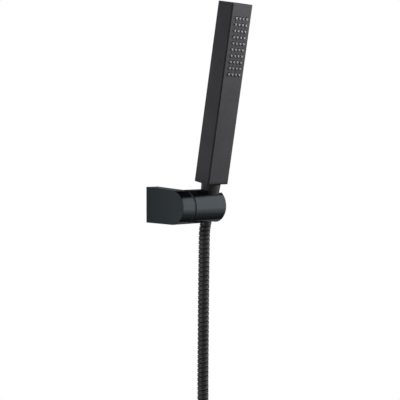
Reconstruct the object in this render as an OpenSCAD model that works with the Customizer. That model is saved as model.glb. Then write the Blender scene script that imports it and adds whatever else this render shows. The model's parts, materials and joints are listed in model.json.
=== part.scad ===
// Wall-mounted hand shower: a stick handset with a 4 by 10 nozzle field, a tapered hose nut, a friction-held
// barrel holder on a wall block, and a ribbed hose whose spare length hangs as a tied coil.
// The wall is the plane Y = 0, the room is on the -Y side, and +Z is up. Everything is in millimetres.

/* [Wall block] */
// Distance from the wall to the barrel's axis
axis_out = 50; // [48:1:54]
// Radius of the barrel and of the block's round front
barrel_r = 22.5; // [22:0.5:23]
// Width of the block along the barrel's axis
block_w = 20.4; // [20:0.2:22]
// Height of the block's wall edge above the barrel's axis
wall_top = 25.5; // [25:0.5:27]
// Depth of the block's wall edge below the barrel's axis
wall_bottom = 22; // [21:0.5:22.5]
// Wall thickness of the block's shell
shell_t = 2.4; // [2:0.2:2.8]

/* [Barrel holder] */
// Length of the turning barrel
barrel_len = 54.6; // [54:0.2:56]
// From the barrel's inner end to the seat's axis
seat_in = 42.1; // [41:0.1:43]
// Lean of the seat and the handset away from the wall, in degrees
head_tilt = 11; // [8:1:14]
// Width of the slot that the hose passes through
slot_w = 20; // [18:0.5:20.5]

/* [Handset] */
// Width of the handset's spray face
head_w = 37.4; // [37:0.2:40]
// Depth of the handset from back to spray face
head_d = 27.8; // [27.6:0.2:31]
// Length of the handset's body with its caps
head_len = 238; // [230:1:250]
// Width of the bevel around the spray face
bevel = 1.6; // [1.4:0.1:2]
// Thickness of the handset's end caps
cap_h = 3.2; // [2.8:0.1:3.6]
// Nozzle pitch across the face
pitch_x = 6.3; // [6:0.1:6.5]
// Nozzle pitch along the face
pitch_z = 8; // [7.5:0.1:8]
// From the handset's top to the first nozzle row
nozzle_top = 19.3; // [19:0.1:22]
// How far the nozzle tips stand out of the face
nozzle_proud = 1.8; // [1:0.1:2]

/* [Hose] */
// Outside diameter of the hose over its ribs
hose_d = 15.2; // [14.6:0.2:15.2]
// Radius of the coil at the middle of its turns
coil_r = 80; // [80:1:80]
// Outside diameter of the tapered nut at its top
cone_top_d = 26; // [25.6:0.1:26.2]

/* [Hidden] */
$fn = 48;
eps = 0.01;

// Stations along X, the barrel's axis
block_x0 = -12;
block_x1 = block_x0 + block_w;
block_mid = (block_x0 + block_x1) / 2;
cap_t = 2;
side_t = 3;
ring_t = 2.95;
ring_step = 0.6;
barrel_x0 = block_x1 + ring_t + 0.05;
barrel_x1 = barrel_x0 + barrel_len;
seat_x = barrel_x0 + seat_in;
end_chamfer = 0.8;

// Pivot of the barrel in the block
spigot_r = 4.95;
bush_r = 7;
bush_bore_r = 5;
flange_t = 1;
bush_x0 = block_x1 - side_t - flange_t;
washer_r = 9.5;
spigot_x0 = bush_x0 - 2.4;
screw_r = 2.5;
stop_at = 15;
stop_r = 1;
tilt_back = 18;
tilt_forward = 34;
stop_play = 5;
stop_slot_w = 2.8;

// Seat, along the handset's axis: 0 is the barrel's axis and + is towards the handset
taper = 3.3;
cone_z1 = 30.7;
cone_len = 39.2;
cone_z0 = cone_z1 - cone_len;
liner_r = 14.5;
liner_z0 = -14;
seat_gap = 0.15;
lower_bore_r = 12;

// Handset stations along its axis
head_z0 = 31.5;
head_z1 = head_z0 + head_len;
wall_t = 2.2;
bore_r = 7.5;
cartridge_r = 7.4;
spigot_z0 = 18;
tube_r = 6;
tube_t = 1.2;
spigot_r_out = 10.45;
tube_z0 = 54;
tube_z1 = 171;
tower_z1 = 62;
mat_y = -head_d / 2 + wall_t;
nozzle_hole_r = 2.6;
nozzle_base_r = 1.6;
nozzle_tip_r = 1.35;
jet_r = 0.5;
cols = 4;
rows = 10;
row_z1 = head_z1 - nozzle_top;
row_z0 = row_z1 - (rows - 1) * pitch_z;
chamber_z0 = row_z0 - 8;
chamber_z1 = row_z1 + 8;
chamber_x = 15.6;
chamber_y1 = 8.5;
chamber_t = 1.8;
screw_x = 11.5;
screw_zs = [chamber_z0 - 5, chamber_z1 + 2.6];

// Hose: the upper ferrule ends at hose_z0 on the seat's axis, and the route runs on from there
hose_z0 = -25;
ferrule_r = 7.7;
insert_r = 5.9;
insert_bore_r = 4;
hose_route = [
    [53.5, -45.2, -24.6], [53.5, -43.8, -31.8], [53.5, -43.1, -38], [53.5, -42.8, -45], [53.5, -42.5, -60],
    [53.5, -42, -85], [53.5, -41.5, -115], [53.5, -41.1, -145], [53.5, -40.8, -175], [53.5, -40.5, -205],
    [53.5, -40.2, -235], [53.5, -40.1, -265.5], [51.5, -40.2, -280.5], [46, -40.4, -294.5], [36.5, -40.6, -307],
    [29, -40.8, -313.5], [19.2, -41, -319.7]];
tail_route = [
    [-15.8, -73, -352], [-23.3, -73, -365], [-30.8, -73, -378], [-37.7, -73, -392.5], [-42.2, -73, -408],
    [-43.4, -73, -413.9]];
hose_sides = 12;
coil_x = 53.5;
coil_z = -392;
coil_y0 = -33.4;
coil_y1 = -80.6;
end_lean = 11.5;
end_pt = tail_route[len(tail_route) - 1];
end_ferrule_l = 20;
nut_u0 = 18;
nut_u1 = 38;
nut_r = 12;
thread_r = 9.5;
relief_u0 = 23.5;
thread_u0 = 29;

// Point where the line from p touches the circle of radius r about c, on the side given by s (1 or -1)
function tangent_point(p, c, r, s) =
    let (v = p - c, a = atan2(v.y, v.x) + s * acos(r / norm(v))) c + r * [cos(a), sin(a)];
function unit(v) = v / norm(v);

// Frames
module along_x(x0, w) {
    translate([x0, 0, 0]) rotate([90, 0, 90]) linear_extrude(w) children();
}
module on_barrel(x0) {
    translate([x0, -axis_out, 0]) rotate([0, 90, 0]) children();
}
module on_seat() {
    translate([seat_x, -axis_out, 0]) rotate([head_tilt, 0, 0]) children();
}
module on_end() {
    translate(end_pt) rotate([0, 180 + end_lean, 0]) children();
}

// Side view of the block, inset by t all round except at the wall. The flats run in just under the round
// front's skin, so that they cross it cleanly.
module block_profile(t) {
    c = [-axis_out, 0];
    r = barrel_r - t;
    top = [0, wall_top - t];
    low = [0, -wall_bottom + t];
    sink = 0.1;
    polygon([top, tangent_point(top, c, r - sink, 1), c, tangent_point(low, c, r - sink, -1), low]);
    translate(c) circle(r, $fn = 96);
}

// Handset section with bevelled corners, inset by t
module head_section(t) {
    x = head_w / 2 - t;
    y = head_d / 2 - t;
    b = max(0.1, bevel - t * (2 - sqrt(2)));
    polygon([[x - b, y], [x, y - b], [x, -y + b], [x - b, -y], [-x + b, -y], [-x, -y + b], [-x, y - b],
        [-x + b, y]]);
}

module ring(ro, ri, h) {
    difference() {
        cylinder(h, ro, ro);
        translate([0, 0, -1]) cylinder(h + 2, ri, ri);
    }
}

module o_ring(r, minor) {
    rotate_extrude() translate([r, 0]) circle(minor, $fn = 24);
}

module slot_cut() {
    translate([0, -slot_w / 2, -60]) cube([60, slot_w, 120]);
}

// Tube of diameter d swept along the points of a route that never runs along Y
module sweep(route, d, sides) {
    n = len(route);
    points = [for (i = [0:n - 1])
        let (t = unit(route[min(i + 1, n - 1)] - route[max(i - 1, 0)]),
            u = unit(cross(t, [0, 1, 0])),
            v = cross(t, u))
        for (k = [0:sides - 1])
            let (a = 360 * k / sides) route[i] + d / 2 * (cos(a) * u + sin(a) * v)];
    faces = concat(
        [[for (k = [0:sides - 1]) k]],
        [for (i = [0:n - 2]) for (k = [0:sides - 1])
            [i * sides + (k + 1) % sides, i * sides + k, (i + 1) * sides + k,
                (i + 1) * sides + (k + 1) % sides]],
        [[for (k = [0:sides - 1]) n * sides - 1 - k]]);
    polyhedron(points, faces);
}

// ---- Wall block ----

module wall_plate() {
    screw_gap = 12;
    plate_x = 6.9;
    flange_z = -wall_bottom + shell_t + 0.3;
    color("silver") translate([block_mid, 0, 0]) difference() {
        union() {
            translate([-plate_x, -3, flange_z]) cube([2 * plate_x, 3, wall_top - shell_t - 0.5 - flange_z]);
            translate([-plate_x, -16, flange_z]) cube([2 * plate_x, 14, 2.5]);
        }
        for (z = [-screw_gap, screw_gap])
            translate([0, 0, z]) rotate([90, 0, 0]) {
                translate([0, 0, -1]) cylinder(5, 2.3, 2.3);
                translate([0, 0, 1]) cylinder(2.2, 2.3, 4.5);
            }
        translate([0, -10, flange_z - 1]) cylinder(5, 2.05, 2.05);
    }
}

module housing() {
    color("#26292b") difference() {
        along_x(block_x0 + cap_t, block_w - cap_t) block_profile(0);
        along_x(block_x0 + cap_t - 1, block_w - cap_t - side_t + 1) block_profile(shell_t);
        translate([block_x0, -1, -wall_bottom + shell_t])
            cube([block_w - side_t, 2, wall_top + wall_bottom - 2 * shell_t]);
        on_barrel(block_x1 - side_t - 1) cylinder(side_t + 2, bush_r, bush_r);
        on_barrel(block_x1 - 2) rotate([0, 0, -tilt_back - stop_play])
            rotate_extrude(angle = tilt_back + tilt_forward + 2 * stop_play)
                translate([stop_at - stop_slot_w / 2, 0]) square([stop_slot_w, 3]);
        translate([block_mid, -10, -wall_bottom - 2]) cylinder(6, 2, 2);
    }
}

module side_cap() {
    color("#26292b") union() {
        along_x(block_x0, cap_t) block_profile(0);
        along_x(block_x0 + cap_t - eps, 2.5) difference() {
            block_profile(shell_t + 0.1);
            block_profile(shell_t + 1.3);
            translate([-17, -40]) square([18, 80]);
        }
    }
}

module grub_screw() {
    color("dimgray") translate([block_mid, -10, -wall_bottom + 0.3]) difference() {
        cylinder(6, 1.95, 1.95);
        translate([0, 0, -1]) cylinder(3, 1.1, 1.1, $fn = 6);
    }
}

module pivot_bush() {
    color("ivory") on_barrel(bush_x0) difference() {
        union() {
            cylinder(flange_t, washer_r, washer_r);
            cylinder(flange_t + side_t, bush_r, bush_r);
        }
        translate([0, 0, -1]) cylinder(8, bush_bore_r, bush_bore_r);
    }
}

module friction_ring() {
    color("#2a2c2d") on_barrel(block_x1) difference() {
        ring(barrel_r - ring_step, 9, ring_t);
        translate([0, 0, -1]) rotate([0, 0, -tilt_back - stop_play])
            rotate_extrude(angle = tilt_back + tilt_forward + 2 * stop_play)
                translate([stop_at - stop_slot_w / 2, 0]) square([stop_slot_w, ring_t + 2]);
    }
}

// ---- Barrel holder ----

module holder_barrel() {
    color("#26292b") difference() {
        on_barrel(barrel_x0) union() {
            cylinder(end_chamfer, barrel_r - end_chamfer / 2, barrel_r);
            translate([0, 0, end_chamfer]) cylinder(barrel_len - 2 * end_chamfer, barrel_r, barrel_r, $fn = 96);
            translate([0, 0, barrel_len - end_chamfer]) cylinder(end_chamfer, barrel_r, barrel_r - end_chamfer);
            translate([0, 0, spigot_x0 - barrel_x0]) cylinder(barrel_x0 - spigot_x0 + 1, spigot_r, spigot_r);
        }
        on_barrel(spigot_x0 - 1) cylinder(18, screw_r, screw_r);
        on_barrel(barrel_x0 - 1) translate([stop_at, 0, 0]) cylinder(6, stop_r, stop_r);
        on_seat() {
            translate([0, 0, liner_z0]) cylinder(60, liner_r, liner_r);
            translate([0, 0, -40]) cylinder(60, lower_bore_r, lower_bore_r);
            slot_cut();
        }
    }
}

module seat_liner() {
    top = 30;
    r_top = cone_top_d / 2 - (cone_z1 - top) * tan(taper) + seat_gap;
    r_low = cone_top_d / 2 - (cone_z1 - liner_z0) * tan(taper) + seat_gap;
    color("#1d1f20") difference() {
        intersection() {
            on_seat() rotate_extrude()
                polygon([[r_low, liner_z0], [liner_r, liner_z0], [liner_r, top], [r_top, top]]);
            on_barrel(barrel_x0 + 1) cylinder(barrel_len - 2, barrel_r - 0.3, barrel_r - 0.3);
        }
        on_seat() slot_cut();
    }
}

module pivot_screw() {
    color("silver") on_barrel(spigot_x0) difference() {
        union() {
            translate([0, 0, -1.4]) cylinder(1.4, 9, 9);
            translate([0, 0, -3.9]) cylinder(2.5, 4.5, 4.5);
            cylinder(15, screw_r - 0.02, screw_r - 0.02);
        }
        translate([0, 0, -4.9]) cylinder(3.2, 2, 2, $fn = 6);
    }
}

module thrust_washer() {
    color("ivory") on_barrel(bush_x0 - 1) ring(washer_r, 5.05, 0.9);
}

module wave_washer() {
    color("silver") on_barrel(bush_x0 - 2.1) ring(washer_r, 5.05, 1);
}

module stop_pin() {
    color("silver") on_barrel(block_x1 - 1.6) translate([stop_at, 0, 0])
        cylinder(barrel_x0 - block_x1 + 6.6, stop_r, stop_r);
}

// ---- Hose end in the holder ----

module upper_insert() {
    color("gold") on_seat() difference() {
        union() {
            translate([0, 0, 13]) cylinder(2.8, 10.2, 10.2);
            translate([0, 0, hose_z0]) cylinder(13 - hose_z0, insert_r, insert_r);
        }
        translate([0, 0, hose_z0 - 1]) cylinder(50, insert_bore_r, insert_bore_r);
    }
}

module upper_ferrule() {
    color("#1d1f20") on_seat() translate([0, 0, hose_z0]) ring(ferrule_r, insert_r, 36.5);
}

// ---- Handset ----

module handset_body() {
    color("#2b2b2d") on_seat() union() {
        difference() {
            translate([0, 0, head_z0 + cap_h]) linear_extrude(head_len - 2 * cap_h) head_section(0);
            translate([0, 0, head_z0]) linear_extrude(head_len) head_section(wall_t);
            for (i = [0:cols - 1], j = [0:rows - 1])
                translate([(i - (cols - 1) / 2) * pitch_x, mat_y + 1, row_z0 + j * pitch_z])
                    rotate([90, 0, 0]) cylinder(5, nozzle_hole_r, nozzle_hole_r, $fn = 24);
            screw_places() translate([0, 0, -1]) cylinder(2.5, 1.2, 1.2, $fn = 24);
        }
        screw_places() difference() {
            translate([0, 0, -eps]) cylinder(1.4, 2.6, 2.6, $fn = 24);
            translate([0, 0, -1]) cylinder(4, 1.2, 1.2, $fn = 24);
        }
    }
}

// Places of the four chamber screws, with Z pointing back from the inside of the spray face
module screw_places() {
    for (x = [-screw_x, screw_x], z = screw_zs)
        translate([x, mat_y, z]) rotate([-90, 0, 0]) children();
}

// A cap of the handset's outline with the front edge bevelled, and a rim that enters the body
module head_cap(rim) {
    difference() {
        union() {
            linear_extrude(cap_h) head_section(0);
            translate([0, 0, -rim]) linear_extrude(rim + eps) head_section(wall_t + 0.1);
        }
        translate([-head_w, -head_d / 2, cap_h - bevel]) rotate([-45, 0, 0])
            translate([0, -20, -20]) cube([2 * head_w, 20, 40]);
    }
}

module top_cap() {
    color("#2b2b2d") on_seat() difference() {
        translate([0, 0, head_z1 - cap_h]) head_cap(2.5);
        translate([0, 0, head_z1 - cap_h - 3]) linear_extrude(3) head_section(wall_t + 1.6);
    }
}

module inlet_fitting() {
    color("#2b2b2d") on_seat() difference() {
        union() {
            translate([0, 0, head_z0 + cap_h]) mirror([0, 0, 1]) head_cap(6);
            translate([0, 0, spigot_z0]) cylinder(head_z0 - spigot_z0 + 1, spigot_r_out, spigot_r_out);
            translate([0, 0, head_z0 + 2]) cylinder(tower_z1 - head_z0 - 2, 10, 10);
        }
        translate([0, 0, spigot_z0 - 1]) cylinder(28, bore_r, bore_r);
        translate([0, 0, spigot_z0]) cylinder(40, 4.5, 4.5);
        translate([0, 0, tube_z0 - 1]) cylinder(20, tube_r + 0.05, tube_r + 0.05);
        translate([0, 0, tube_z0 + 2]) cylinder(2, tube_r + 1.6, tube_r + 1.6);
        translate([0, 0, 36]) linear_extrude(1.6) difference() {
            square([60, 60], center = true);
            head_section(wall_t + 1.3);
        }
    }
}

module inlet_gasket() {
    color("#101010") on_seat() translate([0, 0, 36.1]) linear_extrude(1.4) difference() {
        head_section(wall_t);
        head_section(wall_t + 1.3);
    }
}

module nozzle_mat() {
    sheet_t = 1.3;
    nozzle_h = wall_t + nozzle_proud;
    color("gainsboro") on_seat() difference() {
        union() {
            translate([-13.5, mat_y + 0.1, row_z0 - 5]) cube([27, sheet_t, row_z1 - row_z0 + 10]);
            for (i = [0:cols - 1], j = [0:rows - 1])
                translate([(i - (cols - 1) / 2) * pitch_x, mat_y + 0.2, row_z0 + j * pitch_z])
                    rotate([90, 0, 0]) cylinder(nozzle_h + 0.2, nozzle_base_r, nozzle_tip_r, $fn = 24);
        }
        for (i = [0:cols - 1], j = [0:rows - 1])
            translate([(i - (cols - 1) / 2) * pitch_x, mat_y + 3, row_z0 + j * pitch_z])
                rotate([90, 0, 0]) cylinder(10, jet_r, jet_r, $fn = 16);
    }
}

module spray_chamber() {
    y0 = mat_y + 1.5;
    color("white") on_seat() difference() {
        union() {
            translate([-chamber_x, y0, chamber_z0])
                cube([2 * chamber_x, chamber_y1 - y0, chamber_z1 - chamber_z0]);
            translate([-chamber_x, y0, chamber_z0 - 8.5]) cube([2 * chamber_x, 2, 8.6]);
            translate([-chamber_x, y0, chamber_z1 - 0.1]) cube([2 * chamber_x, 2, 5.3]);
            translate([0, 0, chamber_z0 - 8.5]) cylinder(9, 8.4, 8.4);
        }
        translate([-chamber_x + chamber_t, y0 - 1, chamber_z0 + 2])
            cube([2 * (chamber_x - chamber_t), chamber_y1 - y0 + 1 - chamber_t, chamber_z1 - chamber_z0 - 4]);
        translate([0, 0, chamber_z0 - 9]) cylinder(10.5, tube_r + 0.05, tube_r + 0.05);
        translate([0, 0, chamber_z0 - 5]) cylinder(2, tube_r + 1.6, tube_r + 1.6);
        translate([0, 0, chamber_z0]) cylinder(5, tube_r - tube_t, tube_r - tube_t);
        screw_places() cylinder(10, 1.5, 1.5, $fn = 24);
    }
}

module chamber_screws() {
    color("silver") on_seat() screw_places() difference() {
        union() {
            translate([0, 0, -0.9]) cylinder(4.4, 1.2, 1.2, $fn = 24);
            translate([0, 0, 3.5]) cylinder(1.6, 2.2, 2.2, $fn = 24);
        }
        translate([0, 0, 4.1]) cylinder(2, 1, 1, $fn = 6);
    }
}

module water_tube() {
    color("white") on_seat() translate([0, 0, tube_z0]) ring(tube_r, tube_r - tube_t, tube_z1 - tube_z0);
}

module tube_seals() {
    color("#101010") on_seat() for (z = [tube_z0 + 3, chamber_z0 - 4])
        translate([0, 0, z]) o_ring(tube_r + 0.8, 0.75);
}

module cone_nut() {
    r1 = cone_top_d / 2;
    r0 = r1 - cone_len * tan(taper);
    lip = 0.6;
    color("#2b2b2d") on_seat() difference() {
        union() {
            translate([0, 0, cone_z0]) cylinder(lip, r0 - 0.5, r0 + lip * tan(taper));
            translate([0, 0, cone_z0 + lip])
                cylinder(cone_len - 2 * lip, r0 + lip * tan(taper), r1 - lip * tan(taper), $fn = 96);
            translate([0, 0, cone_z1 - lip]) cylinder(lip, r1 - lip * tan(taper), r1 - 0.5);
        }
        translate([0, 0, cone_z0 - 1]) cylinder(60, 8, 8);
        translate([0, 0, 12.6]) cylinder(20, 10.5, 10.5);
    }
}

module inlet_washer() {
    color("#101010") on_seat() translate([0, 0, 15.9]) ring(9.3, 5.5, 2.05);
}

module filter_screen() {
    color("gainsboro") on_seat() translate([0, 0, spigot_z0 + 0.5]) difference() {
        cylinder(1, cartridge_r, cartridge_r);
        for (r = [0, 2.6, 5.2]) for (a = [0:max(1, r / 2.6 * 6) - 1])
            rotate([0, 0, 360 * a / max(1, r / 2.6 * 6)]) translate([r, 0, -1])
                cylinder(3, 0.8, 0.8, $fn = 16);
    }
}

module flow_regulator() {
    color("steelblue") on_seat() translate([0, 0, spigot_z0 + 2]) difference() {
        cylinder(3, cartridge_r, cartridge_r);
        translate([0, 0, -1]) cylinder(5, 2.2, 2.2);
        for (a = [0:60:300]) rotate([0, 0, a]) translate([4.6, 0, -1]) cylinder(5, 1, 1, $fn = 16);
    }
}

valve_z0 = spigot_z0 + 6;
guide_z0 = valve_z0 + 14;

module check_valve_body() {
    color("white") on_seat() difference() {
        translate([0, 0, valve_z0]) cylinder(16, cartridge_r, cartridge_r);
        translate([0, 0, valve_z0 - 1]) cylinder(4, 4, 4);
        translate([0, 0, valve_z0 + 2]) cylinder(12, 6.2, 6.2);
        translate([0, 0, guide_z0 - 1]) cylinder(5, 1.55, 1.55);
        for (a = [0:120:240]) rotate([0, 0, a]) translate([4.2, 0, guide_z0 - 1]) cylinder(5, 1.6, 1.6);
    }
}

module check_poppet() {
    color("orange") on_seat() union() {
        translate([0, 0, valve_z0 + 2.05]) cylinder(1.8, 5.2, 5.2);
        translate([0, 0, valve_z0 + 3]) cylinder(14, 1.5, 1.5);
    }
}

module check_spring() {
    turns = 5;
    steps = 12;
    z0 = valve_z0 + 4.25;
    rise = guide_z0 - 0.4 - z0;
    wire = 0.6;
    sides = 8;
    n = turns * steps + 1;
    function at(i) = let (a = 360 * i / steps) [2.6 * cos(a), 2.6 * sin(a), z0 + rise * i / (n - 1)];
    points = [for (i = [0:n - 1]) let (a = 360 * i / steps, u = [cos(a), sin(a), 0])
        for (k = [0:sides - 1]) let (b = 360 * k / sides)
            at(i) + wire / 2 * (cos(b) * u + sin(b) * [0, 0, 1])];
    faces = concat(
        [[for (k = [0:sides - 1]) sides - 1 - k]],
        [for (i = [0:n - 2]) for (k = [0:sides - 1])
            [i * sides + k, i * sides + (k + 1) % sides, (i + 1) * sides + (k + 1) % sides,
                (i + 1) * sides + k]],
        [[for (k = [0:sides - 1]) (n - 1) * sides + k]]);
    color("silver") on_seat() polyhedron(points, faces);
}

// ---- Hose ----

module hose() {
    color("#1b1b1b") union() {
        sweep(hose_route, hose_d, hose_sides);
        sweep(tail_route, hose_d, hose_sides);
    }
}

module hose_coil() {
    color("#1b1b1b") translate([coil_x, coil_y0, coil_z]) rotate([90, 0, 0])
        ring(coil_r + hose_d / 2, coil_r - hose_d / 2, coil_y0 - coil_y1);
}

// Two bands around the turns, one beside the hose's way in and one low on the other side
module hose_ties() {
    gap = 0.2;
    band = 1.2;
    inner = hose_d / 2 + gap;
    depth = coil_y0 - coil_y1;
    color("#303030") translate([coil_x, 0, coil_z]) for (a = [128, 305])
        rotate([90, 0, 0]) rotate([0, 0, a]) rotate_extrude(angle = 9, $fn = 96)
            translate([coil_r, -coil_y0]) difference() {
                translate([-inner - band, -gap - band]) square([2 * (inner + band), depth + 2 * (gap + band)]);
                translate([-inner, -gap]) square([2 * inner, depth + 2 * gap]);
            }
}

module lower_ferrule() {
    color("#1d1f20") on_end() translate([0, 0, 0.1]) ring(ferrule_r, insert_r, end_ferrule_l);
}

module lower_insert() {
    color("gold") on_end() difference() {
        union() {
            translate([0, 0, 0.1]) cylinder(26, insert_r, insert_r);
            translate([0, 0, 24]) cylinder(3, 9.2, 9.2);
        }
        translate([0, 0, -1]) cylinder(40, insert_bore_r, insert_bore_r);
    }
}

module end_nut() {
    color("#2b2b2d") on_end() difference() {
        union() {
            translate([0, 0, nut_u0]) cylinder(1, nut_r - 1, nut_r);
            translate([0, 0, nut_u0 + 1]) cylinder(nut_u1 - nut_u0 - 2, nut_r, nut_r);
            translate([0, 0, nut_u1 - 1]) cylinder(1, nut_r, nut_r - 0.6);
        }
        translate([0, 0, nut_u0 - 1]) cylinder(40, 8, 8);
        translate([0, 0, relief_u0]) cylinder(thread_u0 - relief_u0 + 0.3, thread_r + 0.3, thread_r + 0.3);
        translate([0, 0, thread_u0]) cylinder(40, thread_r, thread_r);
    }
}

module end_washer() {
    color("#101010") on_end() translate([0, 0, 27.1]) ring(9.2, 5.5, 2);
}

wall_plate();
housing();
side_cap();
grub_screw();
pivot_bush();
friction_ring();
holder_barrel();
seat_liner();
pivot_screw();
wave_washer();
thrust_washer();
stop_pin();
upper_insert();
upper_ferrule();
handset_body();
top_cap();
inlet_fitting();
inlet_gasket();
nozzle_mat();
spray_chamber();
chamber_screws();
water_tube();
tube_seals();
cone_nut();
inlet_washer();
filter_screen();
flow_regulator();
check_valve_body();
check_spring();
check_poppet();
hose();
hose_coil();
hose_ties();
lower_ferrule();
lower_insert();
end_nut();
end_washer();
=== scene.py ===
import json
import math

import bmesh
import bpy
from mathutils import Matrix, Vector


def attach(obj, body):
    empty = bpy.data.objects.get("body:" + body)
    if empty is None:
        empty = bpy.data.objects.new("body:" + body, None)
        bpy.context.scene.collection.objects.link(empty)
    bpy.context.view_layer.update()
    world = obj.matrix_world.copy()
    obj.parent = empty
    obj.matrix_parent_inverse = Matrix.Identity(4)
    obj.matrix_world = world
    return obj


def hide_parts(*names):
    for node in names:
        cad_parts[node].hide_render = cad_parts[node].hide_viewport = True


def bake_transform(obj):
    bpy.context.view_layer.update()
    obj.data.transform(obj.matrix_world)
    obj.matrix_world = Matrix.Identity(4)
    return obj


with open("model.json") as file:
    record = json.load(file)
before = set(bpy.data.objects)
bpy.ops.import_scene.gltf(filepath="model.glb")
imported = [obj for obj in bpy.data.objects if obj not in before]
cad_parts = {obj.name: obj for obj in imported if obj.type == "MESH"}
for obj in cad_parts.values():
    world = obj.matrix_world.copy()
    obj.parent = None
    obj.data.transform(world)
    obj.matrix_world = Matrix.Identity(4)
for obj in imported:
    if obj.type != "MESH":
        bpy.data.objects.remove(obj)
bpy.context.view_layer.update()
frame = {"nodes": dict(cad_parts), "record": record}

MM = 0.001

# Sizes of the visible shapes, in millimetres. Directions and the seat's place come from the frame's joints.

# Handset: its section, the height of an end cap, its wall, and its two ends along the seat's axis
HEAD_W = 37.4
HEAD_D = 27.8
HEAD_BEVEL = 1.6
HEAD_CAP = 3.2
HEAD_WALL = 2.2
HEAD_Z0 = 31.5
HEAD_Z1 = 269.5
SEAM_GAP = 0.03
RIM_INSET = HEAD_WALL + 0.1

# Nozzle field
NOZZLE_COLS = 4
NOZZLE_ROWS = 10
NOZZLE_PITCH_X = 6.3
NOZZLE_PITCH_Z = 8.0
NOZZLE_TOP_Z = 250.2
HOLE_R = 2.6

# Barrel and wall block: ends along X, heights above and below the barrel's axis, the pivot's bore and screw
# hole, the block's shell, its side cap and the gap to it, and the rounding of outer edges and of that seam's
BARREL_R = 22.5
BARREL_X0 = 11.4
BARREL_X1 = 66.0
BLOCK_X0 = -12.0
BLOCK_X1 = 8.4
WALL_TOP = 25.5
WALL_BOTTOM = 22.0
AXIS_OUT = 50.0
PIVOT_BORE_R = 7.0
SCREW_HOLE_R = 2.52
SHELL = 2.4
CAP_T = 2.0
CAP_GAP = 0.02
BLOCK_EDGE = 0.3
FINE_EDGE = 0.03

# Seat: its bore, the narrower bore below it, and the slot that lets the hose in
SEAT_R = 14.5
LOWER_BORE_R = 12.0
SLOT_W = 20.0

# Hose, with the share of a rib's pitch that one flank takes, and the line along the middle of a rib
HOSE_D = 15.2
HOSE_SIDES = 24
RIB_PITCH = 6.2
RIB_DEPTH = 1.6
RIB_STEPS = 12
RIB_FLANK = 0.2
RIB_LINE_HALF = 0.09
RIB_LINE_DEPTH = 0.28

# Coil: its radius, how far one turn lies from the next, its centre, and its start and end in degrees
COIL_R = 80.0
COIL_PITCH = 15.27
COIL_X = 53.5
COIL_Y = -41.0
COIL_Z = -392.0
COIL_START = 25.4
COIL_END = 780.0
COIL_STEPS = 75

# The hose's route before and after the coil
HOSE_DROP = [
    (53.5, -45.2, -24.6), (53.5, -43.8, -31.8), (53.5, -43.1, -38), (53.5, -42.8, -45),
    (53.5, -42.5, -60), (53.5, -42, -85), (53.5, -41.5, -115), (53.5, -41.1, -145),
    (53.5, -40.8, -175), (53.5, -40.5, -205), (53.5, -40.2, -235), (53.5, -40.1, -265.5),
    (51.5, -40.2, -280.5), (46, -40.4, -294.5), (36.5, -40.6, -307), (29, -40.8, -313.5)]
HOSE_TAIL = [
    (-23.3, -73, -365), (-30.8, -73, -378), (-37.7, -73, -392.5), (-42.2, -73, -408), (-43.4, -73, -413.9)]

JOINTS = {j["name"]: j for j in frame["record"]["behaviour"]["joints"]}


def frame_along(axis, origin):
    """A frame at that origin, in metres, with Z along the axis."""
    turn = Vector((0, 0, 1)).rotation_difference(Vector(axis))
    return Matrix.Translation(origin) @ turn.to_matrix().to_4x4()


SEAT = frame_along(JOINTS["handset_swivel"]["axis"], JOINTS["handset_swivel"]["pos_m"])
BARREL = Matrix.Translation((0, -AXIS_OUT * MM, 0)) @ Matrix.Rotation(math.radians(90), 4, "Y")
END = frame_along(JOINTS["end_nut_spin"]["axis"], Vector(HOSE_TAIL[-1]) * MM)
PLAIN = Matrix.Identity(4)


# ---- Camera ----

def make_camera():
    heading = math.radians(46.49)
    pitch = math.radians(-2.96)
    level = math.cos(pitch)
    forward = Vector((math.cos(heading) * level, math.sin(heading) * level, math.sin(pitch)))
    data = bpy.data.cameras.new("camera")
    data.lens = 99.0
    data.sensor_width = 36.0
    data.clip_end = 20.0
    camera = bpy.data.objects.new("camera", data)
    bpy.context.collection.objects.link(camera)
    camera.location = (-0.9651, -1.1075, 0.0835)
    camera.rotation_euler = forward.to_track_quat("-Z", "Y").to_euler()
    bpy.context.scene.camera = camera


# ---- Materials ----

def new_material(name, base, roughness, metallic=0.0, specular=0.5, sheen=0.0):
    """A Principled material with what is the same all over it."""
    m = bpy.data.materials.new(name)
    m.use_nodes = True
    shader = m.node_tree.nodes["Principled BSDF"]
    shader.inputs["Base Color"].default_value = (*base, 1)
    shader.inputs["Roughness"].default_value = roughness
    shader.inputs["Metallic"].default_value = metallic
    shader.inputs["Specular IOR Level"].default_value = specular
    shader.inputs["Sheen Weight"].default_value = sheen
    return m


def coordinates(m, scale=(1, 1, 1)):
    """The object's own coordinates, in metres, stretched by scale."""
    nodes, links = m.node_tree.nodes, m.node_tree.links
    source = nodes.new("ShaderNodeTexCoord")
    mapping = nodes.new("ShaderNodeMapping")
    mapping.inputs["Scale"].default_value = scale
    links.new(source.outputs["Object"], mapping.inputs["Vector"])
    return mapping.outputs["Vector"]


def noise(m, vector, scale, detail=3.0):
    node = m.node_tree.nodes.new("ShaderNodeTexNoise")
    node.inputs["Scale"].default_value = scale
    node.inputs["Detail"].default_value = detail
    node.inputs["Roughness"].default_value = 0.55
    m.node_tree.links.new(vector, node.inputs["Vector"])
    return node.outputs["Fac"]


def ramp(m, value, low, high):
    """The noise's usual range, 0.3 to 0.7, spread over low to high."""
    node = m.node_tree.nodes.new("ShaderNodeMapRange")
    node.inputs["From Min"].default_value = 0.3
    node.inputs["From Max"].default_value = 0.7
    node.inputs["To Min"].default_value = low
    node.inputs["To Max"].default_value = high
    m.node_tree.links.new(value, node.inputs["Value"])
    return node.outputs["Result"]


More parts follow.
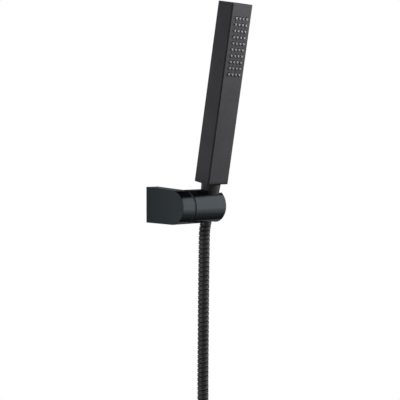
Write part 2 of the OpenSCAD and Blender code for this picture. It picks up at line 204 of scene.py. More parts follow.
def tint(m, value, dark, light):
    """Base colour from dark to light as the value goes from 0 to 1."""
    node = m.node_tree.nodes.new("ShaderNodeMix")
    node.data_type = "RGBA"
    node.inputs["A"].default_value = (*dark, 1)
    node.inputs["B"].default_value = (*light, 1)
    m.node_tree.links.new(value, node.inputs["Factor"])
    shader = m.node_tree.nodes["Principled BSDF"]
    m.node_tree.links.new(node.outputs["Result"], shader.inputs["Base Color"])


def roughen(m, value):
    m.node_tree.links.new(value, m.node_tree.nodes["Principled BSDF"].inputs["Roughness"])


def bump(m, value, distance):
    node = m.node_tree.nodes.new("ShaderNodeBump")
    node.inputs["Distance"].default_value = distance
    node.inputs["Strength"].default_value = 1.0
    m.node_tree.links.new(value, node.inputs["Height"])
    m.node_tree.links.new(node.outputs["Normal"], m.node_tree.nodes["Principled BSDF"].inputs["Normal"])


def coated_metal(name, base, roughness, grain, depth, specular, gloss_tint=(1, 1, 1)):
    """Powder coat or paint: faint cloudy colour, uneven gloss and a fine orange-peel grain."""
    m = new_material(name, base, roughness, specular=specular)
    m.node_tree.nodes["Principled BSDF"].inputs["Specular Tint"].default_value = (*gloss_tint, 1)
    vector = coordinates(m)
    cloud = noise(m, vector, 35.0)
    tint(m, ramp(m, cloud, 0.0, 1.0), [c * 0.88 for c in base], [c * 1.12 for c in base])
    roughen(m, ramp(m, noise(m, vector, 220.0), roughness - 0.04, roughness + 0.05))
    bump(m, noise(m, vector, grain, 2.0), depth)
    return m


def moulded(name, base, roughness, specular=0.5):
    """Injection-moulded plastic with a slight spark-eroded grain."""
    m = new_material(name, base, roughness, specular=specular)
    vector = coordinates(m)
    tint(m, ramp(m, noise(m, vector, 60.0), 0.0, 1.0), [c * 0.9 for c in base], [c * 1.08 for c in base])
    roughen(m, ramp(m, noise(m, vector, 500.0), roughness - 0.05, roughness + 0.07))
    bump(m, noise(m, vector, 2600.0, 1.0), 0.00003)
    return m


def rubber(name, base, roughness):
    """Silicone or rubber, softly mottled."""
    m = new_material(name, base, roughness, specular=0.4)
    vector = coordinates(m)
    tint(m, ramp(m, noise(m, vector, 180.0), 0.0, 1.0), [c * 0.85 for c in base], [c * 1.12 for c in base])
    roughen(m, ramp(m, noise(m, vector, 900.0), roughness - 0.08, roughness + 0.06))
    bump(m, noise(m, vector, 1800.0, 2.0), 0.00004)
    return m


def turned_metal(name, base, roughness):
    """Bare metal with fine tool marks."""
    m = new_material(name, base, roughness, metallic=1.0)
    vector = coordinates(m, (1, 1, 12))
    marks = noise(m, vector, 700.0, 2.0)
    tint(m, ramp(m, marks, 0.0, 1.0), [c * 0.85 for c in base], list(base))
    roughen(m, ramp(m, marks, roughness - 0.06, roughness + 0.1))
    bump(m, marks, 0.00002)
    return m


def webbing(name, base):
    """Woven tape: two crossed sets of threads."""
    m = new_material(name, base, 0.85, specular=0.3, sheen=0.4)
    nodes, links = m.node_tree.nodes, m.node_tree.links
    heights = []
    for direction in ("X", "Z"):
        wave = nodes.new("ShaderNodeTexWave")
        wave.bands_direction = direction
        wave.inputs["Scale"].default_value = 340.0
        wave.inputs["Distortion"].default_value = 0.6
        links.new(coordinates(m), wave.inputs["Vector"])
        heights.append(wave.outputs["Fac"])
    weave = nodes.new("ShaderNodeMath")
    weave.operation = "MULTIPLY"
    links.new(heights[0], weave.inputs[0])
    links.new(heights[1], weave.inputs[1])
    tint(m, weave.outputs["Value"], [c * 0.6 for c in base], [c * 1.5 for c in base])
    bump(m, weave.outputs["Value"], 0.0002)
    return m


def make_materials():
    return {
        "steel": turned_metal("steel", (0.62, 0.62, 0.63), 0.34),
        "brass": turned_metal("brass", (0.70, 0.52, 0.26), 0.3),
        "bracket_black": coated_metal("bracket_black", (0.0008, 0.0016, 0.0022), 0.12, grain=900.0,
                                      depth=0.000002, specular=0.47, gloss_tint=(0.76, 0.90, 1.0)),
        "handset_black": coated_metal("handset_black", (0.0212, 0.0202, 0.0232), 0.44, grain=1500.0,
                                      depth=0.00003, specular=0.28),
        "nut_black": coated_metal("nut_black", (0.025, 0.0235, 0.0250), 0.42, grain=1400.0,
                                  depth=0.00003, specular=0.3),
        "acetal": moulded("acetal", (0.72, 0.71, 0.66), 0.45),
        "liner_plastic": moulded("liner_plastic", (0.016, 0.0175, 0.019), 0.5, 0.28),
        "regulator_plastic": moulded("regulator_plastic", (0.10, 0.22, 0.42), 0.35),
        "nozzle_silicone": rubber("nozzle_silicone", (0.17, 0.17, 0.178), 0.45),
        "seal_rubber": rubber("seal_rubber", (0.018, 0.018, 0.018), 0.6),
        "hose_black": moulded("hose_black", (0.024, 0.023, 0.024), 0.34),
        "tie_fabric": webbing("tie_fabric", (0.03, 0.03, 0.034)),
    }


# ---- Mesh helpers ----

def fillet(points, radius, steps):
    """The closed outline with each corner rounded to radius, or to the radius given for that corner."""
    n = len(points)
    radii = radius if isinstance(radius, (list, tuple)) else [radius] * n
    out = []
    for i, p in enumerate(points):
        if radii[i] <= 0:
            out.append(tuple(p))
            continue
        p = Vector(p)
        a = (Vector(points[i - 1]) - p).normalized()
        b = (Vector(points[(i + 1) % n]) - p).normalized()
        half = a.angle(b) / 2
        reach = radii[i] / math.tan(half)
        centre = p + (a + b).normalized() * (radii[i] / math.sin(half))
        start, end = p + a * reach - centre, p + b * reach - centre
        turn = start.angle_signed(end)
        for k in range(steps + 1):
            out.append(tuple(centre + Matrix.Rotation(-turn * k / steps, 2) @ start))
    return out


def mesh_object(name, vertices, faces):
    """An object from vertices in metres, with its faces turned outwards."""
    mesh = bpy.data.meshes.new(name)
    mesh.from_pydata(vertices, [], faces)
    bm = bmesh.new()
    bm.from_mesh(mesh)
    bmesh.ops.recalc_face_normals(bm, faces=bm.faces)
    bm.to_mesh(mesh)
    bm.free()
    obj = bpy.data.objects.new(name, mesh)
    bpy.context.collection.objects.link(obj)
    return obj


def loft(name, sections, matrix):
    """A closed solid through outlines of equal count, each a list of 3D points in mm."""
    count = len(sections[0])
    vertices = [matrix @ (Vector(p) * MM) for section in sections for p in section]
    faces = [list(range(count))[::-1]]
    for s in range(len(sections) - 1):
        for k in range(count):
            j = (k + 1) % count
            faces.append([s * count + k, s * count + j, (s + 1) * count + j, (s + 1) * count + k])
    last = (len(sections) - 1) * count
    faces.append([last + k for k in range(count)])
    return mesh_object(name, vertices, faces)


def lathe(name, profile, matrix, sides, bumps=None):
    """A solid of revolution from a profile of (radius, height) in mm, full where it meets the axis.

    Where bumps is given, it returns the radius for a point's radius, height and angle.
    """
    n = len(profile)
    vertices, faces = [], []
    for k in range(sides):
        angle = 2 * math.pi * k / sides
        for r, z in profile:
            r = bumps(r, z, angle) if bumps else r
            vertices.append(matrix @ (Vector((r * math.cos(angle), r * math.sin(angle), z)) * MM))
    for k in range(sides):
        j = (k + 1) % sides
        for i in range(n if profile[0][0] > 0 else n - 1):
            m = (i + 1) % n
            faces.append([k * n + i, k * n + m, j * n + m, j * n + i])
    obj = mesh_object(name, vertices, faces)
    bm = bmesh.new()
    bm.from_mesh(obj.data)
    bmesh.ops.remove_doubles(bm, verts=bm.verts, dist=1e-7)
    bmesh.ops.dissolve_degenerate(bm, edges=bm.edges, dist=1e-7)
    bmesh.ops.recalc_face_normals(bm, faces=bm.faces)
    bm.to_mesh(obj.data)
    bm.free()
    return obj


def drill(name, radius, z0, z1, matrix, sides):
    """A plain round cutter for a bore."""
    return lathe(name, [(0, z0), (radius, z0), (radius, z1), (0, z1)], matrix, sides)


def join(name, objects):
    """One object from several, which are removed."""
    bm = bmesh.new()
    for o in objects:
        bm.from_mesh(o.data)
        bpy.data.objects.remove(o)
    mesh = bpy.data.meshes.new(name)
    bm.to_mesh(mesh)
    bm.free()
    obj = bpy.data.objects.new(name, mesh)
    bpy.context.collection.objects.link(obj)
    return obj


def settle(obj):
    """Applies the object's modifiers to its mesh."""
    graph = bpy.context.evaluated_depsgraph_get()
    mesh = bpy.data.meshes.new_from_object(obj.evaluated_get(graph))
    obj.modifiers.clear()
    obj.data = mesh


def cut(obj, *cutters):
    """Takes the cutters' shapes out of the object and removes them."""
    for cutter in cutters:
        modifier = obj.modifiers.new("cut", "BOOLEAN")
        modifier.operation = "DIFFERENCE"
        modifier.solver = "MANIFOLD"
        modifier.object = cutter
        settle(obj)
        bpy.data.objects.remove(cutter)


def soften(obj, width, angle, segments):
    """Rounds the edges sharper than angle, width in mm."""
    modifier = obj.modifiers.new("round", "BEVEL")
    modifier.width = width * MM
    modifier.segments = segments
    modifier.limit_method = "ANGLE"
    modifier.angle_limit = math.radians(angle)
    modifier.use_clamp_overlap = True
    modifier.miter_outer = "MITER_ARC"
    settle(obj)


def shade(obj, sharp=40):
    """Smooth shading that keeps flat faces flat."""
    obj.data.shade_smooth()
    obj.data.set_sharp_from_angle(angle=math.radians(sharp))
    modifier = obj.modifiers.new("normals", "WEIGHTED_NORMAL")
    modifier.mode = "FACE_AREA"
    modifier.weight = 100
    modifier.keep_sharp = True
    settle(obj)


def finish_piece(obj, body, slot, *nodes):
    """Gives a piece its material, the CAD nodes that it stands for and the body that it rides on."""
    obj.data.materials.clear()
    obj.data.materials.append(MATERIALS[slot])
    if nodes:
        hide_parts(*nodes)
    if body:
        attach(obj, body)
    return obj


# ---- Hose ----

def smooth_path(points, step):
    """Points a step apart along a curve through the given points."""
    dense = []
    n = len(points)
    for i in range(n - 1):
        p0, p1, p2, p3 = points[max(i - 1, 0)], points[i], points[i + 1], points[min(i + 2, n - 1)]
        pieces = max(2, int((p2 - p1).length / (step * 0.5)))
        for k in range(pieces):
            t = k / pieces
            dense.append(0.5 * (2 * p1 + (p2 - p0) * t + (2 * p0 - 5 * p1 + 4 * p2 - p3) * t * t
                                + (3 * p1 - p0 - 3 * p2 + p3) * t * t * t))
    dense.append(points[-1])
    lengths = [0.0]
    for a, b in zip(dense, dense[1:]):
        lengths.append(lengths[-1] + (b - a).length)
    count = int(lengths[-1] / step)
    out, j = [], 0
    for k in range(count + 1):
        target = lengths[-1] * k / count
        while j < len(dense) - 2 and lengths[j + 1] < target:
            j += 1
        share = (target - lengths[j]) / max(lengths[j + 1] - lengths[j], 1e-12)
        out.append(dense[j].lerp(dense[j + 1], share))
    return out


def hose_points():
    """The whole route: the drop, the turns of the coil, and the tail to the end fitting."""
    coil = []
    for i in range(COIL_STEPS + 1):
        degrees = COIL_START + (COIL_END - COIL_START) * i / COIL_STEPS
        angle = math.radians(degrees)
        coil.append((COIL_X - COIL_R * math.sin(angle), COIL_Y - COIL_PITCH * (degrees - COIL_START) / 360,
                     COIL_Z + COIL_R * math.cos(angle)))
    return [Vector(p) * MM for p in HOSE_DROP + coil + HOSE_TAIL]


def rib_height(turn):
    """From 0 in the narrow groove to 1 on the broad rib, which has a shallow line along its middle."""
    x = turn - math.floor(turn)
    flank = min(1.0, min(x, 1 - x) / RIB_FLANK)
    line = max(0.0, 1 - abs(x - 0.5) / RIB_LINE_HALF)
    return math.sin(flank * math.pi / 2) - RIB_LINE_DEPTH * line * line * (3 - 2 * line)


def make_hose():
    """The ribbed hose as one tube, with its ribs wound round it as a screw."""
    path = smooth_path(hose_points(), RIB_PITCH / RIB_STEPS * MM)
    step = (path[1] - path[0]).length
    sides = HOSE_SIDES
    side = Vector((1, 0, 0))
    vertices, faces = [], []
    for i, point in enumerate(path):
        along = (path[min(i + 1, len(path) - 1)] - path[max(i - 1, 0)]).normalized()
        side = (side - along * side.dot(along)).normalized()
        other = along.cross(side)
        for k in range(sides):
            angle = 2 * math.pi * k / sides
            height = rib_height(i * step / (RIB_PITCH * MM) - k / sides)
            r = (HOSE_D / 2 - RIB_DEPTH * (1 - height)) * MM
            vertices.append(point + r * (math.cos(angle) * side + math.sin(angle) * other))
    for i in range(len(path) - 1):
        for k in range(sides):
            j = (k + 1) % sides
            faces.append([i * sides + k, i * sides + j, (i + 1) * sides + j, (i + 1) * sides + k])
    last = (len(path) - 1) * sides
    faces.append(list(range(sides))[::-1])
    faces.append([last + k for k in range(sides)])
    hose = mesh_object("ribbed_hose", vertices, faces)
    hose.data.shade_smooth()
    hose.data.set_sharp_from_angle(angle=math.radians(70))
    finish_piece(hose, None, "hose_black", "hose", "hose_coil")
    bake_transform(hose)
    return hose, path


def make_ferrule(name, matrix, z0, z1, body, node):
    """A crimped sleeve with two rolled grooves."""
    r, bore, depth = 7.7, 6.0, 0.35
    profile = [(bore, z0), (r, z0)]
    for centre in (z0 + (z1 - z0) * 0.3, z0 + (z1 - z0) * 0.55):
        low, high = centre - 0.4, centre + 0.4
        profile += [(r, low - 0.5), (r - depth, low), (r - depth, high), (r, high + 0.5)]
    profile += [(r, z1), (bore, z1)]
    radii = [0.15, 0.4] + [0.15] * 8 + [0.4, 0.15]
    obj = lathe(name, fillet(profile, radii, 3), matrix, 64)
    shade(obj)
    return finish_piece(obj, body, "hose_black", node)


def make_end_nut():
    """The hose's end nut, with a fluted grip between two plain collars."""
    z0, z1, shoulder_z, r = 18.0, 38.0, 23.5, 12.0
    tail_r, bore_r, relief_r, flutes_round = 8, 9.5, 9.8, 24
    outside = [(tail_r, z0), (r - 0.9, z0), (r, z0 + 0.9), (r, z0 + 3), (r, z0 + 3.4), (r, z0 + 9),
               (r, z1 - 3.4), (r, z1 - 3), (r, z1 - 0.8), (r - 0.8, z1)]
    inside = [(bore_r + 0.2, z1), (bore_r, z1 - 0.6), (bore_r, z1 - 8.7), (relief_r, z1 - 8.9),
              (relief_r, shoulder_z), (tail_r, shoulder_z)]

    def flutes(radius, z, angle):
        if radius < r - 0.01 or z < z0 + 3.2 or z > z1 - 3.2:
            return radius
        return radius - 0.55 * (0.5 - 0.5 * math.cos(flutes_round * angle)) ** 0.7

    obj = lathe("end_nut_fluted", outside + inside, END, 192, flutes)
    shade(obj, 35)
    return finish_piece(obj, "hose_nut", "nut_black", "end_nut")


def make_tie(index, angle, turns_y):
    """A strap round the coil's turns at that angle, hugging the outermost ones."""
    gap, thick, width = 0.25, 1.0, 12.0
    low, high = min(turns_y), max(turns_y)
    r = HOSE_D / 2 + gap + thick / 2
    loop = []
    for start, y in ((-90, high), (90, low)):
        for k in range(25):
            a = math.radians(start + 180 * k / 24)
            loop.append((r * math.sin(a), y + r * math.cos(a)))
    a = math.radians(angle)
    outward = Vector((math.cos(a), 0, math.sin(a)))
    sideways = Vector((-math.sin(a), 0, math.cos(a)))
    centre = Vector((COIL_X, 0, COIL_Z)) + outward * COIL_R
    section = fillet([(-thick / 2, -width / 2), (thick / 2, -width / 2), (thick / 2, width / 2),
                      (-thick / 2, width / 2)], 0.35, 2)
    vertices, faces = [], []
    n, m = len(loop), len(section)
    for i in range(n):
        ahead, behind = loop[(i + 1) % n], loop[i - 1]
        t = Vector((ahead[0] - behind[0], ahead[1] - behind[1])).normalized()
        normal = Vector((t.y, -t.x))
        for depth, wide in section:
            u = loop[i][0] + normal.x * depth
            y = loop[i][1] + normal.y * depth
            vertices.append((centre + outward * u + Vector((0, y, 0)) + sideways * wide) * MM)
    for i in range(n):
        for k in range(m):
            j, p = (i + 1) % n, (k + 1) % m
            faces.append([i * m + k, i * m + p, j * m + p, j * m + k])
    return mesh_object(f"strap_{index}", vertices, faces)


def make_ties():
    """Two straps on opposite sides of the coil."""
    straps = []
    for index, angle in enumerate((132.5, 309.5)):
        turns = []
        degrees = angle - 90
        while degrees <= COIL_END:
            if degrees >= COIL_START:
                turns.append(COIL_Y - COIL_PITCH * (degrees - COIL_START) / 360)
            degrees += 360
        straps.append(make_tie(index, angle, turns))
    obj = join("hose_straps", straps)
    shade(obj, 50)
    return finish_piece(obj, "hose_drop", "tie_fabric", "hose_ties")


# ---- Handset ----

def head_outline(inset, t=0.0, rounding=0.35):
    """The handset's bevelled section, inset all round, its front edge moved back by t."""
    x, y = HEAD_W / 2 - inset, HEAD_D / 2 - inset
    b = max(0.1, HEAD_BEVEL - inset * (2 - math.sqrt(2)))
    front = -y + t
    corner = x - b + t
    points = [(x - b, y), (x, y - b), (x, -y + b), (corner, front),
              (-corner, front), (-x, -y + b), (-x, y - b), (-x + b, y)]
    rounding = min(rounding, b / 2)
    side = min(rounding * 2.2, b * 0.9)
    return fillet(points, [rounding, rounding, side, rounding, rounding, side, rounding, rounding], 4)


def at_height(outline, z):
    """The handset section's points placed at z."""
    return [(x, y, z) for x, y in outline]


def nozzle_places():
    """Each nozzle's x and z on the spray face."""
    for i in range(NOZZLE_COLS):
        for j in range(NOZZLE_ROWS):
            yield (i - (NOZZLE_COLS - 1) / 2) * NOZZLE_PITCH_X, NOZZLE_TOP_Z - j * NOZZLE_PITCH_Z


def facing_out(x, z):
    """A frame on the handset with Z pointing out of the spray face."""
    return SEAT @ Matrix.Translation(Vector((x, 0, z)) * MM) @ Matrix.Rotation(math.radians(90), 4, "X")


def make_handset_body():
    """The tube between the two caps, with its ends rounded a little and 40 holes in the spray face."""
    z0 = HEAD_Z0 + HEAD_CAP + SEAM_GAP
    z1 = HEAD_Z1 - HEAD_CAP - SEAM_GAP
    edge, part_edge, hole_edge = 0.22, 0.066, 0.18
    steps = [(edge, z0), (part_edge, z0 + part_edge), (0, z0 + edge), (0, z1 - edge),
             (part_edge, z1 - part_edge), (edge, z1)]
    body = loft("handset_shell", [at_height(head_outline(inset), z) for inset, z in steps], SEAT)
    hollow = loft("hollow", [at_height(head_outline(HEAD_WALL), z) for z in (HEAD_Z0 - 5, HEAD_Z1 + 5)], SEAT)
    face = HEAD_D / 2
    profile = [(0, face - 5), (HOLE_R, face - 5), (HOLE_R, face - hole_edge), (HOLE_R + hole_edge, face),
               (HOLE_R + 0.5, face + 1), (0, face + 1)]
    holes = [lathe("hole", profile, facing_out(x, z), 32) for x, z in nozzle_places()]
    cut(body, hollow, join("holes", holes))
    shade(body, 50)
    return finish_piece(body, "handset", "handset_black", "handset_body")


def cap_sections(z_seam, direction):
    """Sections of an end cap from its seam outwards: the front edge is bevelled and the rim is rounded."""
    foot = HEAD_CAP - HEAD_BEVEL
    seam_edge = [(SEAM_GAP, 0.22), (0.1, 0.07), (0.25, 0.0)]
    rim_edge = [(HEAD_CAP - 0.45, 0.0), (HEAD_CAP - 0.27, 0.04), (HEAD_CAP - 0.13, 0.12),
                (HEAD_CAP - 0.04, 0.24), (HEAD_CAP, 0.42)]
    sections = []
    for t, inset in seam_edge + [(foot, 0.0)] + rim_edge:
        rise = max(0.0, t - foot)
        outline = head_outline(inset, min(rise, HEAD_BEVEL * 0.6), 0.3)
        back = [(x, max(y, -HEAD_D / 2 + rise + inset * 0.4)) for x, y in outline]
        sections.append(at_height(back, z_seam + direction * t))
    return sections


def make_rim(z0, z1):
    """The solid part of a cap that stands inside the tube."""
    return loft("rim", [at_height(head_outline(RIM_INSET), z) for z in (z0, z1)], SEAT)


def make_top_cap():
    """The handset's top cap."""
    seam = HEAD_Z1 - HEAD_CAP
    cap = loft("top_cap_bevelled", cap_sections(seam, 1), SEAT)
    obj = join("top_cap_bevelled", [cap, make_rim(seam - 2.5, seam + 0.2)])
    shade(obj, 50)
    return finish_piece(obj, "handset", "handset_black", "top_cap")


def make_inlet():
    """The bottom cap with its inlet stub."""
    seam = HEAD_Z0 + HEAD_CAP
    bore_r, stub_r, z0, z1 = 7.6, 10.45, 18, HEAD_Z0 + 0.3
    cap = loft("inlet", cap_sections(seam, -1), SEAT)
    profile = fillet([(bore_r, z0), (stub_r, z0), (stub_r, z1), (bore_r, z1)], [0.3, 0.5, 0, 0], 3)
    stub = lathe("stub", profile, SEAT, 64)
    obj = join("inlet_cap", [cap, make_rim(seam - 0.2, seam + 5.5), stub])
    shade(obj, 50)
    return finish_piece(obj, "handset", "handset_black", "inlet_fitting")


def make_nozzles():
    """The silicone mat behind the spray face and its 40 nozzles, each with a blind bore."""
    face = HEAD_D / 2
    foot = face - HEAD_WALL - 0.2
    base, tip, proud, bore = 1.6, 1.45, 1.8, 0.35
    top = face + proud
    profile = [(0, foot), (base, foot), (base, face - 0.4), (tip + 0.1, top - 0.45), (tip - 0.12, top - 0.14),
               (tip - 0.4, top), (0.6, top - 0.02), (0.42, top - 0.1), (bore, top - 0.3), (bore, top - 2.5),
               (0, top - 2.5)]
    pieces = [lathe("nozzle", profile, facing_out(x, z), 28) for x, z in nozzle_places()]
    half, margin, thick = 13.5, 5, 1.3
    low = NOZZLE_TOP_Z - (NOZZLE_ROWS - 1) * NOZZLE_PITCH_Z - margin
    high = NOZZLE_TOP_Z + margin
    y0 = -face + HEAD_WALL + 0.1
    sheet = fillet([(-half, low), (half, low), (half, high), (-half, high)], 2.0, 4)
    pieces.append(loft("sheet", [[(x, y, z) for x, z in sheet] for y in (y0, y0 + thick)], SEAT))
    obj = join("nozzle_set", pieces)
    shade(obj, 45)
    return finish_piece(obj, "handset", "nozzle_silicone", "nozzle_mat")


def make_cone_nut():
    """The tapered hose nut, wider towards the handset."""
    top_r, thread_r, bore_r = 13.0, 10.5, 8
    z0, shoulder_z, z1 = -8.5, 12.6, 30.7
    low_r = top_r - (z1 - z0) * math.tan(math.radians(3.3))
    profile = fillet([(bore_r, z0), (low_r, z0), (top_r, z1), (thread_r, z1), (thread_r, shoulder_z),
                      (bore_r, shoulder_z)], [0.3, 0.7, 0.6, 0.3, 0, 0], 5)
    obj = lathe("tapered_nut", profile, SEAT, 128)
    shade(obj)
    return finish_piece(obj, "handset", "nut_black", "cone_nut")


# ---- Wall block and holder ----

def tangent_angle(p, r):
    """The direction of p from the barrel's axis, and how far round from it a tangent through p touches."""
    dy, dz = p[0] + AXIS_OUT, p[1]
    base = math.atan2(dz, dy)
    spread = math.acos(r / math.hypot(dy, dz))
    return base, spread


def block_outline(inset):
    """Side view of the block as (y, z) from the top wall edge round the front to the bottom wall edge."""
    r = BARREL_R - inset
    top, low = (0, WALL_TOP - inset), (0, -WALL_BOTTOM + inset)
    base, spread = tangent_angle(top, r)
    start = base + spread
    base, spread = tangent_angle(low, r)
    end = base - spread + 2 * math.pi
    arc = []
    for k in range(49):
        a = start + (end - start) * k / 48
        arc.append((-AXIS_OUT + r * math.cos(a), r * math.sin(a)))
    return [top] + arc + [low]


def across(outline, x):
    """The side view's points placed at x."""
    return [(x, y, z) for y, z in outline]


def block_sections(x0, x1, edge0, edge1):
    """Sections from x0 to x1 with the outline drawn in at both ends to round the edges."""
    sections = []
    for share in (0.0, 0.25, 0.6, 1.0):
        inset = edge0 * (1 - math.sin(share * math.pi / 2))
        sections.append(across(block_outline(inset), x0 + edge0 * (1 - math.cos(share * math.pi / 2))))
    for share in (1.0, 0.6, 0.25, 0.0):
        inset = edge1 * (1 - math.sin(share * math.pi / 2))
        sections.append(across(block_outline(inset), x1 - edge1 * (1 - math.cos(share * math.pi / 2))))
    return sections


def wall_opening(outline):
    """The outline with its wall edge moved out past the wall, to cut the block's open back."""
    past_wall = 3
    (_, top), *front, (_, low) = outline
    return [(past_wall, top)] + front + [(past_wall, low)]


def make_housing():
    """The block's shell, open to the wall and on its outer side, with a bore and a slot on its inner side."""
    x0 = BLOCK_X0 + CAP_T + CAP_GAP / 2
    shell = loft("block_shell", block_sections(x0, BLOCK_X1, FINE_EDGE, BLOCK_EDGE), PLAIN)
    hollow = wall_opening(block_outline(SHELL))
    inner = loft("inner", [across(hollow, BLOCK_X0), across(hollow, BLOCK_X1 - 3)], PLAIN)
    bore = drill("bore", PIVOT_BORE_R, BLOCK_X1 - 5, BLOCK_X1 + 2, BARREL, 48)
    cut(shell, inner, bore, make_stop_slot(BLOCK_X1 - 2))
    shade(shell, 40)
    return finish_piece(shell, "wall_bracket", "bracket_black", "housing")


def make_stop_slot(x0):
    """The curved slot that the stop pin runs in: 23 degrees one way and 39 the other."""
    inner_r, outer_r, x1 = 13.6, 16.4, x0 + 6
    sections = []
    for k in range(25):
        a = math.radians(-23 + 62 * k / 24)
        ring = []
        for r, x in ((inner_r, x0), (outer_r, x0), (outer_r, x1), (inner_r, x1)):
            ring.append((x, -AXIS_OUT + r * math.sin(a), -r * math.cos(a)))
        sections.append(ring)
    return loft("slot", sections, PLAIN)


def make_side_cap():
    """The plate that closes the block's outer side, with a lip that stands inside the shell."""
    x1 = BLOCK_X0 + CAP_T - CAP_GAP / 2
    plate = loft("block_side", block_sections(BLOCK_X0, x1, BLOCK_EDGE, FINE_EDGE), PLAIN)
    outer, inner = block_outline(SHELL + 0.1), block_outline(SHELL + 1.3)
    lip = loft("lip", [across(outer, BLOCK_X0 + 1.9), across(outer, BLOCK_X0 + 4.5)], PLAIN)
    hollow = loft("lip_inner", [across(inner, BLOCK_X0), across(inner, 0)], PLAIN)
    near, past, half = -17, 5, 40
    sections = [[(x, near, -half), (x, past, -half), (x, past, half), (x, near, half)] for x in (BLOCK_X0, 0)]
    wall_side = loft("wall_side", sections, PLAIN)
    cut(lip, hollow, wall_side)
    obj = join("block_side_cap", [plate, lip])
    shade(obj, 40)
    return finish_piece(obj, "wall_bracket", "bracket_black", "side_cap")


def make_barrel():
    """The turning barrel with its pivot spigot, its rounded free end, the seat's bores and the hose slot."""
    x0, x1 = BARREL_X0, BARREL_X1
    r, edge = BARREL_R, 0.8
    spigot_x, spigot_r = BLOCK_X1 - 6.4, 4.95
    profile = [(0, spigot_x), (spigot_r, spigot_x), (spigot_r, x0), (r - 0.3, x0), (r - 0.08, x0 + 0.1),
               (r, x0 + 0.3)]
    for k in range(7):
        a = math.pi / 2 * k / 6
        profile.append((r - edge + edge * math.cos(a), x1 - edge + edge * math.sin(a)))
    profile.append((0, x1))
    barrel = lathe("barrel_body", profile, BARREL, 192)
    seat = drill("seat", SEAT_R, -14, 46, SEAT, 96)
    lower = drill("lower", LOWER_BORE_R, -40, 20, SEAT, 96)
    half, near, far = SLOT_W / 2, 1.3, 40
    walls = [[(near, -half, z), (far, -half, z), (far, half, z), (near, half, z)] for z in (-50, 50)]
    slot = loft("slot", walls, SEAT)
    screw = drill("screw", SCREW_HOLE_R, spigot_x - 1, spigot_x + 17, BARREL, 32)
    cut(barrel, seat, lower, slot, screw)
    soften(barrel, 0.35, 40, 2)
    shade(barrel, 40)
    return finish_piece(barrel, "holder", "bracket_black", "holder_barrel")


# ---- CAD nodes that stay ----

def paint_nodes():
    """Gives each CAD node the material of its slot in the record."""
    for part in frame["record"]["subparts"]:
        node = frame["nodes"][part["node"]]
        for place in node.material_slots:
            place.material = MATERIALS[part["material_slot"]]


# ---- Floor and light ----

def make_floor():
    """A pale round floor below the coil, with a little light of its own so that it stays pale here."""
    radius, z, sides = 1.1, -0.56, 96
    material = new_material("floor", (0.80, 0.80, 0.79), 0.8, specular=0.2)
    vector = coordinates(material)
    cloud = ramp(material, noise(material, vector, 3.0), 0.0, 1.0)
    tint(material, cloud, (0.78, 0.78, 0.77), (0.82, 0.82, 0.81))
    shader = material.node_tree.nodes["Principled BSDF"]
    shader.inputs["Emission Color"].default_value = (1, 1, 1, 1)
    shader.inputs["Emission Strength"].default_value = 0.42
    turns = [2 * math.pi * k / sides for k in range(sides)]
    rim = [(radius * math.cos(a), radius * math.sin(a), z) for a in turns]
    floor = mesh_object("floor", rim, [list(range(sides))])
    floor.data.materials.append(material)
    floor.visible_glossy = False
    floor.visible_shadow = False


def area_light(name, place, target, size, radiance, in_gloss=True):
    """A rectangular soft box that looks as bright as radiance in a mirror, where 1 is white."""
    data = bpy.data.lights.new(name, "AREA")
    data.shape = "RECTANGLE"
    data.size, data.size_y = size
    data.energy = radiance * math.pi * size[0] * size[1]
    light = bpy.data.objects.new(name, data)
    bpy.context.collection.objects.link(light)
    light.location = place
    light.rotation_euler = (Vector(target) - Vector(place)).to_track_quat("-Z", "Y").to_euler()
    light.visible_camera = False
    light.visible_glossy = in_gloss


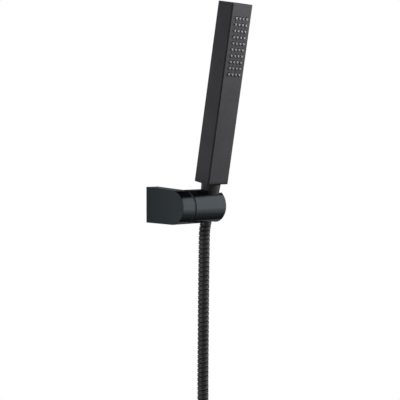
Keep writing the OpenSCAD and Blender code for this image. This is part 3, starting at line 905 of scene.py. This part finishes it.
def make_world():
    """White to the camera. As light it is a dim room, dark overhead, with a few soft bright patches."""
    world = bpy.data.worlds.new("studio")
    bpy.context.scene.world = world
    world.use_nodes = True
    nodes, links = world.node_tree.nodes, world.node_tree.links
    nodes.clear()
    direction = nodes.new("ShaderNodeTexCoord").outputs["Generated"]

    def towards(axis, start, end, low, high):
        """Goes softly from low to high as the cosine of the angle to the axis goes from start to end."""
        dot = nodes.new("ShaderNodeVectorMath")
        dot.operation = "DOT_PRODUCT"
        dot.inputs[1].default_value = Vector(axis).normalized()
        links.new(direction, dot.inputs[0])
        step = nodes.new("ShaderNodeMapRange")
        step.interpolation_type = "SMOOTHSTEP"
        for socket, value in (("From Min", start), ("From Max", end), ("To Min", low), ("To Max", high)):
            step.inputs[socket].default_value = value
        links.new(dot.outputs["Value"], step.inputs["Value"])
        return step.outputs["Result"]

    def combine(operation, first, second):
        node = nodes.new("ShaderNodeMath")
        node.operation = operation
        links.new(first, node.inputs[0])
        links.new(second, node.inputs[1])
        return node.outputs["Value"]

    # Directions as seen when facing the wall
    rear_left, rear_right = (-0.69, 0.72, 0.0), (0.69, 0.72, 0.0)
    front_left, front_right = (-0.69, -0.72, 0.0), (0.69, -0.72, 0)
    up, down = (0, 0, 1), (0, 0, -1)

    # The room: brightest at the rear left, and darker above, below, at the rear right and at the front left
    room = towards(rear_left, 0.2, 0.98, 0.32, 0.42)
    room = combine("MULTIPLY", room, towards(up, 0.40, 0.62, 1.0, 0.01))
    room = combine("MULTIPLY", room, towards(rear_right, 0.1, 0.6, 1.0, 0.42))
    room = combine("MULTIPLY", room, towards(front_left, 0.5, 0.95, 1.0, 0.1))
    room = combine("MULTIPLY", room, towards(down, 0.1, 0.5, 1.0, 0.2))

    # Bright patches: low at the front right, low at the right, at the left, and along the wall's normal
    low_front = combine("MULTIPLY", towards(front_right, 0.36, 0.9, 0.0, 0.3), towards(down, 0.3, 0.55, 0, 1))
    room = combine("ADD", room, low_front)
    room = combine("ADD", room, towards((0.69, 0.40, -0.60), 0.955, 0.995, 0.0, 0.25))
    room = combine("ADD", room, towards((-1, 0.05, -0.18), 0.96, 0.995, 0.0, 2.5))
    room = combine("ADD", room, towards((0, -1, 0.1), 0.90, 0.99, 0.0, 0.8))
    room = combine("ADD", room, towards((0, 1, 0.1), 0.90, 0.99, 0.0, 0.5))

    out = nodes.new("ShaderNodeOutputWorld")
    mix = nodes.new("ShaderNodeMixShader")
    dim, white = nodes.new("ShaderNodeBackground"), nodes.new("ShaderNodeBackground")
    dim.inputs["Color"].default_value = (0.93, 0.98, 1, 1)
    white.inputs["Color"].default_value = (1, 1, 1, 1)
    links.new(room, dim.inputs["Strength"])
    links.new(nodes.new("ShaderNodeLightPath").outputs["Is Camera Ray"], mix.inputs["Fac"])
    links.new(dim.outputs["Background"], mix.inputs[1])
    links.new(white.outputs["Background"], mix.inputs[2])
    links.new(mix.outputs["Shader"], out.inputs["Surface"])


def make_keys():
    """Three soft boxes at the right, one in front of the other.

    They share a top edge and reach down to different heights, so that their reflection has a hard top and
    fades away downwards.
    """
    top, depth, middle, width, radiance = 2.43, 2.5, -2.32, 3.54, 0.6
    for i, bottom in enumerate((-0.8, -1.4, -1.9)):
        height = top - bottom
        z = bottom + height / 2
        area_light(f"key_{i}", (depth + 0.01 * i, middle, z), (0, middle, z), (width, height), radiance)


def make_lights():
    """The keys, three fills that don't show in reflections, and two cards that the block's side reflects."""
    make_keys()
    area_light("head_fill", (0.16, -0.30, 0.36), (0.05, -0.11, 0.24), (0.1, 0.1), 60.0, in_gloss=False)
    area_light("side_fill", (-0.45, 0.33, 0.15), (0.03, -0.06, 0.1), (0.15, 0.15), 60.0, in_gloss=False)
    area_light("low_fill", (-0.45, -0.2, -0.25), (0.05, -0.05, -0.05), (0.15, 0.15), 8.0, in_gloss=False)
    for i, reach in enumerate((0.60, 0.66)):
        y, z = reach - 0.25, -0.05
        area_light(f"side_card_{i}", (-0.6 - 0.005 * i, y, z), (0, y, z), (0.5, 0.4), 0.17)


bpy.context.scene.view_settings.view_transform = "Standard"
make_camera()
MATERIALS = make_materials()
hose, hose_path = make_hose()
straps = make_ties()
make_ferrule("upper_sleeve", SEAT, -25.0, 11.5, "hose_top", "upper_ferrule")
lower_sleeve = make_ferrule("lower_sleeve", END, 0.1, 20.1, "hose_drop", "lower_ferrule")
end_grip = make_end_nut()

make_handset_body()
make_top_cap()
make_inlet()
make_nozzles()
make_cone_nut()
make_housing()
make_side_cap()
make_barrel()
paint_nodes()
make_floor()
make_world()
make_lights()
